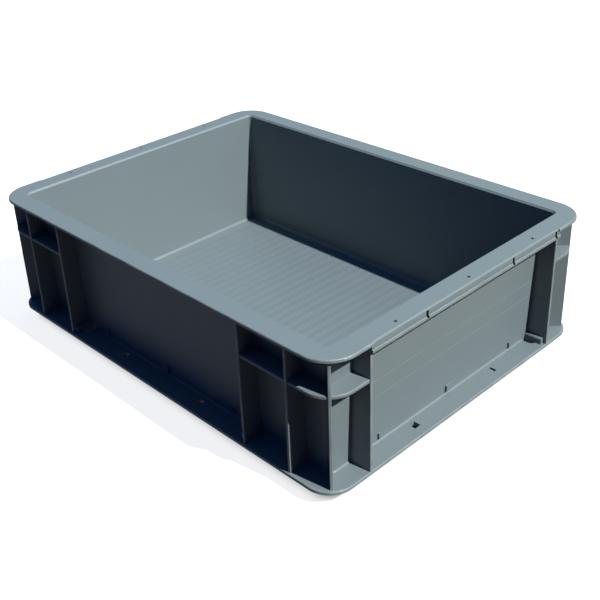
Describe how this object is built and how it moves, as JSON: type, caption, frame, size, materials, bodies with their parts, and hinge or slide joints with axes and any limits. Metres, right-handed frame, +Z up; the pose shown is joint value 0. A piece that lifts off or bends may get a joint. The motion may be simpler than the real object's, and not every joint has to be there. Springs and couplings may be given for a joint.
{
  "type": "euro stacking container",
  "caption": "Open plastic stacking container with a flat rim, ribbed leaning walls, corner shelves, end grips and a base flange that sits on the container below.",
  "frame": {"origin": "middle of the outline, on the surface that the foot stands on", "axes": "+X along the long side, +Y across it, +Z up out of the open mouth"},
  "size_m": [0.4, 0.3, 0.12],
  "materials": {
    "shell": "moulded polypropylene, slate blue-grey, satin"
  },
  "bodies": {
    "root": {"container_body": "shell"}
  },
  "joints": []
}
